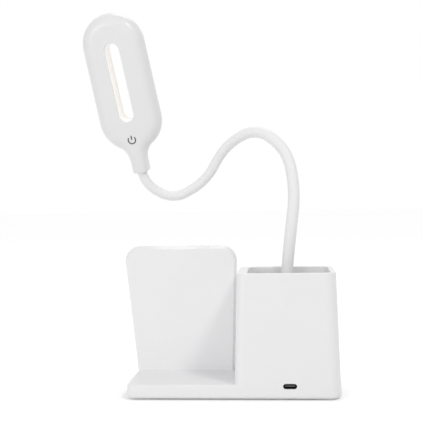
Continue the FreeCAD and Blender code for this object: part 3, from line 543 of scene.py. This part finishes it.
class LAMP_OT_neck_sleeve(bpy.types.Operator):
    """Make the neck's smooth sleeve, in lengths that each cross one hinge"""
    bl_idname = "desk_lamp.neck_sleeve"
    bl_label = "Neck sleeve"

    def execute(self, context):
        neck = context.scene.lamp_neck
        tree = sleeve_tree()
        stretches = sleeve_stretches()
        bodies = ["root"] + [joint["child"] for joint in joints]
        values = {"Sides": neck.sides, "Thickness": 1.0, "Material": finish("Sleeve white")}
        for i, (line, radii) in enumerate(stretches):
            mesh = grow(sleeve_curve(line, radii), tree, values, f"neck_sleeve_skin_{i}")
            rigid_body = {0: "root", len(stretches) - 1: "head"}.get(i)
            replaced = f"neck_sleeve_{i}" if i < len(bodies) - 1 else "neck_sleeve_head"
            piece = keep_piece(mesh, rigid_body, [replaced])
            if not rigid_body:
                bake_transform(piece)
        return {"FINISHED"}


# ---- Finishes of the carried-over nodes --------------------------------------------------

class LAMP_OT_base(bpy.types.Operator):
    """Finish the base, the phone plate and their covers"""
    bl_idname = "desk_lamp.base"
    bl_label = "Base and phone plate"

    def execute(self, context):
        for node in ("base_shell", "bottom_cover", "phone_plate", "plate_back_cover"):
            dress(node, "Housing white")
        dress("non_slip_pad", "Pad rubber")
        dress("socket_shell", "Socket black")
        dress("socket_tongue", "Tongue grey")
        return {"FINISHED"}


class LAMP_OT_head(bpy.types.Operator):
    """Finish the lamp head's shells, slot, diffuser and icon"""
    bl_idname = "desk_lamp.head"
    bl_label = "Lamp head"

    def execute(self, context):
        # The head shells' white is darker than the housing's as painted shade.
        dress("head_back_shell", "Head white with painted shade")
        dress("head_front_shell", "Head white with painted shade")
        # The slot liner's finish glows: painted light, not a lamp.
        dress("slot_liner", "Liner warm white painted glow")
        dress("diffuser", "Milky cover")
        dress("power_icon", "Icon grey")
        return {"FINISHED"}


class LAMP_OT_inside(bpy.types.Operator):
    """Finish the pieces inside the base, the neck and the head"""
    bl_idname = "desk_lamp.inside"
    bl_label = "Inside pieces"

    def execute(self, context):
        cores = [node for node in nodes if node.startswith("neck_core_")]
        finishes = {
            "Ballast iron": ["ballast_plate"],
            "Cell foil": ["battery_cell"],
            "Board green": ["main_board", "touch_board"],
            "Chip white": ["led_board"],
            "Chip yellow": ["led_chips"],
            "Component black": ["board_components"],
            "Foam black": ["touch_foam"],
            "Steel": ["neck_bush", "neck_nut", "neck_ferrule", *cores],
            "Zinc": ["plate_screws", "board_screws", "pinch_screw"],
        }
        for name, members in finishes.items():
            for node in members:
                dress(node, name)
        return {"FINISHED"}


# ---- Screws and contacts -----------------------------------------------------------------

def join(tree, *parts):
    made = tree.nodes.new("GeometryNodeJoinGeometry")
    for part in parts:
        tree.links.new(part, made.inputs[0])
    return made.outputs[0]


def moved(tree, geometry, **inputs):
    return add_node(tree, "GeometryNodeTransform", Geometry=geometry, **inputs).outputs[0]


def raised(tree, geometry, height):
    return moved(tree, geometry, Translation=set_vector(tree, 0.0, 0.0, height))


def carve(tree, body, tool):
    """Body with the tool's shape cut away."""
    made = add_node(tree, "GeometryNodeMeshBoolean", Mesh_1=body, Mesh_2=tool)
    made.operation = "DIFFERENCE"
    return made.outputs[0]


def screw_tree():
    """Pan-head screws with a cross recess, one at each point, with their heads outwards along Z."""
    tree = new_tree("Pan head screws", [
        ("Head radius", "NodeSocketFloat", 2.4 * MM),
        ("Head height", "NodeSocketFloat", 1.3 * MM),
        ("Shank radius", "NodeSocketFloat", 1.25 * MM),
        ("Shank length", "NodeSocketFloat", 5.0 * MM),
        ("Thread pitch", "NodeSocketFloat", 0.9 * MM),
        ("Rotation", "NodeSocketRotation", None),
        ("Material", "NodeSocketMaterial", None),
    ])
    given = tree.nodes.new("NodeGroupInput").outputs

    def times(value, factor):
        return reckon(tree, "MULTIPLY", value, factor)

    # the solids are cut at a thousand times their size, where the cutting is exact
    radius, height, shank, reach, pitch = [
        times(given[name], 1000.0)
        for name in ("Head radius", "Head height", "Shank radius", "Shank length", "Thread pitch")]
    head = add_node(tree, "GeometryNodeMeshCone", Vertices=48, Radius_Top=times(radius, 0.8),
                    Radius_Bottom=radius, Depth=height).outputs["Mesh"]
    bar_length, bar_width = times(radius, 1.1), times(radius, 0.24)
    for along, across, depth in ((bar_length, bar_width, 1.0), (bar_width, bar_length, 1.06)):
        bar = add_node(tree, "GeometryNodeMeshCube",
                       Size=set_vector(tree, along, across, times(height, depth))).outputs["Mesh"]
        head = carve(tree, head, raised(tree, bar, height))
    core = add_node(tree, "GeometryNodeMeshCylinder", Vertices=24, Radius=times(shank, 0.8),
                    Depth=reach).outputs["Mesh"]
    core = raised(tree, core, times(reach, -0.5))
    turns = reckon(tree, "SUBTRACT", reckon(tree, "DIVIDE", reach, pitch), 0.6)
    helix = add_node(tree, "GeometryNodeCurveSpiral", Resolution=20, Rotations=turns,
                     Start_Radius=times(shank, 0.82), End_Radius=times(shank, 0.82),
                     Height=times(reach, 0.9)).outputs[0]
    ridge = add_node(tree, "GeometryNodeCurvePrimitiveCircle", Resolution=6,
                     Radius=times(shank, 0.17)).outputs["Curve"]
    thread = add_node(tree, "GeometryNodeCurveToMesh", Curve=helix, Profile_Curve=ridge,
                      Fill_Caps=True).outputs[0]
    thread = raised(tree, thread, times(reach, -0.97))
    body = moved(tree, join(tree, head, core, thread), Scale=(0.001, 0.001, 0.001))
    placed = add_node(tree, "GeometryNodeInstanceOnPoints", Points=given["Geometry"],
                      Instance=shade_smooth(tree, body, 35), Rotation=given["Rotation"])
    close_tree(tree, placed.outputs[0], given["Material"])
    return tree


def points_object(name, points):
    mesh = bpy.data.meshes.new(name)
    mesh.from_pydata([tuple(p) for p in points], [], [])
    holder = bpy.data.objects.new(name, mesh)
    bpy.context.scene.collection.objects.link(holder)
    return holder


class LAMP_OT_screws(bpy.types.Operator):
    """Make the screws of the bottom cover and of the lamp head"""
    bl_idname = "desk_lamp.screws"
    bl_label = "Screws"

    def execute(self, context):
        fit = context.scene.lamp_fittings
        head = context.scene.lamp_head
        tree = screw_tree()
        low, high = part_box("base_shell")
        x, y = high[0] - fit.screw_inset[0], high[1] - fit.screw_inset[1]
        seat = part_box("cover_screws")[0][2] + fit.screw_height
        points = [(a * x, b * y, seat) for a in (-1, 1) for b in (-1, 1)]
        values = {"Head radius": fit.screw_head, "Head height": fit.screw_height,
                  "Shank radius": fit.screw_shank, "Shank length": fit.screw_length,
                  "Thread pitch": fit.screw_pitch, "Rotation": (math.pi, 0.0, 0.0),
                  "Material": finish("Zinc")}
        mesh = grow(points_object("cover_screw_places", points), tree, values, "cover_screws_finished")
        keep_piece(mesh, "root", ["cover_screws"])
        turned = head_matrix() @ Matrix.Rotation(math.radians(-90), 4, "X")
        points = [head_matrix() @ Vector((side * head.screw_spread, head.screw_seat, -head.screw_drop))
                  for side in (-1, 1)]
        values.update({"Head radius": fit.small_head, "Head height": fit.small_height,
                       "Shank radius": fit.small_shank, "Shank length": fit.small_length,
                       "Thread pitch": fit.small_pitch, "Rotation": tuple(turned.to_euler())})
        mesh = grow(points_object("head_screw_places", points), tree, values, "head_screws_finished")
        keep_piece(mesh, "head", ["head_screws"])
        return {"FINISHED"}


def contact_tree():
    """Row of flat contacts, copied to both faces of the tongue."""
    tree = new_tree("Socket contacts", [
        ("Count", "NodeSocketInt", 12),
        ("Pitch", "NodeSocketFloat", 0.5 * MM),
        ("Size", "NodeSocketVector", (0.25 * MM, 2.6 * MM, 0.03 * MM)),
        ("Spread", "NodeSocketFloat", 0.35 * MM),
        ("Material", "NodeSocketMaterial", None),
    ])
    given = tree.nodes.new("NodeGroupInput").outputs
    width = reckon(tree, "MULTIPLY", given["Pitch"], reckon(tree, "SUBTRACT", given["Count"], 1.0))
    bar = add_node(tree, "GeometryNodeMeshCube", Size=given["Size"]).outputs["Mesh"]
    rows = []
    for side in (-1.0, 1.0):
        start = set_vector(tree, reckon(tree, "MULTIPLY", width, -0.5), 0.0,
                           reckon(tree, "MULTIPLY", given["Spread"], side))
        rows.append(add_node(tree, "GeometryNodeMeshLine", Count=given["Count"], Start_Location=start,
                             Offset=set_vector(tree, given["Pitch"], 0.0, 0.0)).outputs[0])
    bars = add_node(tree, "GeometryNodeInstanceOnPoints", Points=join(tree, *rows), Instance=bar)
    placed = add_node(tree, "GeometryNodeInstanceOnPoints", Points=given["Geometry"],
                      Instance=bars.outputs[0])
    close_tree(tree, placed.outputs[0], given["Material"])
    return tree


class LAMP_OT_contacts(bpy.types.Operator):
    """Make the contacts on the charging socket's tongue"""
    bl_idname = "desk_lamp.contacts"
    bl_label = "Socket contacts"

    def execute(self, context):
        fit = context.scene.lamp_fittings
        low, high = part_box("socket_tongue")
        shell_low, shell_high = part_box("socket_shell")
        middle = (Vector(shell_low) + Vector(shell_high)) / 2
        tip = low[1] + fit.contact_size[1] / 2 + fit.contact_inset
        values = {"Count": fit.contacts, "Pitch": fit.contact_pitch, "Size": tuple(fit.contact_size),
                  "Spread": fit.tongue_half + fit.contact_size[2] / 2, "Material": finish("Contact gold")}
        holder = points_object("contact_place", [(middle.x, tip, middle.z)])
        mesh = grow(holder, contact_tree(), values, "socket_contacts")
        keep_piece(mesh, "root")
        return {"FINISHED"}


# ---- Stage -------------------------------------------------------------------------------

def camera_matrix():
    stage = bpy.context.scene.lamp_stage
    ahead = Vector((math.sin(stage.camera_turn) * math.cos(stage.camera_dip),
                    math.cos(stage.camera_turn) * math.cos(stage.camera_dip),
                    -math.sin(stage.camera_dip)))
    level = Vector((math.cos(stage.camera_turn), -math.sin(stage.camera_turn), 0))
    above = level.cross(ahead)
    c, s = math.cos(stage.camera_roll), math.sin(stage.camera_roll)
    right = level * c + above * s
    up = above * c - level * s
    turned = Matrix((right, up, -ahead)).transposed().to_4x4()
    return Matrix.Translation(stage.camera_place) @ turned


def area_lamp(name, azimuth, height, size, watts):
    """Round lamp turned to the middle, placed by its angles to the right of the front and above level."""
    stage = bpy.context.scene.lamp_stage
    data = bpy.data.lights.new(name, "AREA")
    data.shape = "DISK"
    data.size = size
    data.energy = watts
    lamp = bpy.data.objects.new(name, data)
    bpy.context.scene.collection.objects.link(lamp)
    a, h = math.radians(azimuth), math.radians(height)
    away = Vector((math.sin(a) * math.cos(h), -math.cos(a) * math.cos(h), math.sin(h)))
    lamp.location = Vector(stage.lamp_middle) + away * stage.lamp_distance
    lamp.rotation_euler = (-away).to_track_quat("-Z", "Y").to_euler()


def seen_directly(tree):
    """1 for what is seen directly, in gloss or through glass, 0 for the light that falls on things."""
    rays = tree.nodes.new("ShaderNodeLightPath").outputs
    seen = reckon(tree, "MAXIMUM", rays["Is Camera Ray"], rays["Is Glossy Ray"])
    return reckon(tree, "MAXIMUM", seen, rays["Is Transmission Ray"])


def lit_and_seen(tree, lit, seen):
    """One shader for the light that falls on things and another for what is seen directly."""
    mix = add_node(tree, "ShaderNodeMixShader", Fac=seen_directly(tree))
    tree.links.new(lit.outputs[0], mix.inputs[1])
    tree.links.new(seen.outputs[0], mix.inputs[2])
    return mix.outputs[0]


def white_room(level):
    world = bpy.data.worlds.new("White room")
    bpy.context.scene.world = world
    world.use_nodes = True
    tree = world.node_tree
    tree.nodes.clear()
    lit = add_node(tree, "ShaderNodeBackground", Color=WHITE, Strength=level)
    white = add_node(tree, "ShaderNodeBackground", Color=WHITE, Strength=1.0)
    add_node(tree, "ShaderNodeOutputWorld", Surface=lit_and_seen(tree, lit, white))


def floor_finish():
    """White floor, which glows up to white where it is seen and lights things as plain paint."""
    stage = bpy.context.scene.lamp_stage
    material = bpy.data.materials.new("Floor white")
    material.use_nodes = True
    material.cycles.emission_sampling = "NONE"
    tree = material.node_tree
    tree.nodes.clear()
    where = tree.nodes.new("ShaderNodeTexCoord").outputs["Object"]
    squeezed = reckon_vector(tree, "MULTIPLY", where, (stage.glow_squeeze, 1.0, 1.0))
    away = reckon_vector(tree, "LENGTH", squeezed.outputs[0]).outputs["Value"]
    level = add_node(tree, "ShaderNodeMapRange", Value=away, From_Min=stage.near_reach,
                     From_Max=stage.far_reach, To_Min=stage.near_glow, To_Max=stage.far_glow)
    level.interpolation_type = "SMOOTHSTEP"
    paint = add_node(tree, "ShaderNodeBsdfDiffuse", Color=(*stage.floor_colour, 1.0))
    glow = add_node(tree, "ShaderNodeEmission", Color=WHITE, Strength=level.outputs["Result"])
    lifted = tree.nodes.new("ShaderNodeAddShader")
    tree.links.new(paint.outputs[0], lifted.inputs[0])
    tree.links.new(glow.outputs[0], lifted.inputs[1])
    add_node(tree, "ShaderNodeOutputMaterial", Surface=lit_and_seen(tree, paint, lifted))
    return material


def make_floor(half, low):
    mesh = bpy.data.meshes.new("floor")
    corners = [(-half, -half, low), (half, -half, low), (half, half, low), (-half, half, low)]
    mesh.from_pydata(corners, [], [(0, 1, 2, 3)])
    mesh.materials.append(floor_finish())
    floor = bpy.data.objects.new("floor", mesh)
    bpy.context.scene.collection.objects.link(floor)


def make_camera():
    scene = bpy.context.scene
    data = bpy.data.cameras.new("Camera")
    data.lens = scene.lamp_stage.focal_length
    data.sensor_width = 36.0
    data.clip_end = 50.0
    camera = bpy.data.objects.new("Camera", data)
    scene.collection.objects.link(camera)
    camera.matrix_world = camera_matrix()
    scene.camera = camera


class LAMP_OT_stage(bpy.types.Operator):
    """Set up the floor, the lamps and the camera"""
    bl_idname = "desk_lamp.stage"
    bl_label = "Stage"

    def execute(self, context):
        stage = context.scene.lamp_stage
        context.scene.view_settings.view_transform = "Standard"
        white_room(stage.room_light)
        area_lamp("Key lamp", azimuth=42, height=50, size=0.2, watts=stage.key_light)
        area_lamp("Left lamp", azimuth=-40, height=8, size=0.5, watts=stage.left_light)
        area_lamp("Back lamp", azimuth=180, height=58, size=0.5, watts=stage.back_light)
        make_floor(stage.floor_half, -stage.floor_drop)
        make_camera()
        return {"FINISHED"}


class LAMP_PT_sidebar(bpy.types.Panel):
    """Buttons for every piece and the settings they use"""
    bl_label = "Desk lamp"
    bl_idname = "LAMP_PT_sidebar"
    bl_space_type = "VIEW_3D"
    bl_region_type = "UI"
    bl_category = "Desk lamp"

    def draw(self, context):
        for step in STEPS:
            self.layout.operator(step.bl_idname)
        for group_name, _ in SETTINGS:
            group = getattr(context.scene, group_name)
            for field in group.bl_rna.properties:
                if field.identifier not in ("rna_type", "name"):
                    self.layout.prop(group, field.identifier)


SETTINGS = [("lamp_finish", FinishSettings), ("lamp_neck", NeckSettings), ("lamp_head", HeadSettings),
            ("lamp_fittings", FittingSettings), ("lamp_stage", StageSettings)]
STEPS = [LAMP_OT_base, LAMP_OT_head, LAMP_OT_inside, LAMP_OT_screws, LAMP_OT_contacts, LAMP_OT_neck_sleeve,
         LAMP_OT_stage]


def register():
    for name, kind in SETTINGS:
        bpy.utils.register_class(kind)
        setattr(bpy.types.Scene, name, bpy.props.PointerProperty(type=kind))
    for kind in STEPS + [LAMP_PT_sidebar]:
        bpy.utils.register_class(kind)


def unregister():
    for kind in reversed(STEPS + [LAMP_PT_sidebar]):
        bpy.utils.unregister_class(kind)
    for name, kind in reversed(SETTINGS):
        delattr(bpy.types.Scene, name)
        bpy.utils.unregister_class(kind)


def main():
    register()
    for step in STEPS:
        family, action = step.bl_idname.split(".")
        getattr(getattr(bpy.ops, family), action)()


if __name__ == "__main__":
    main()
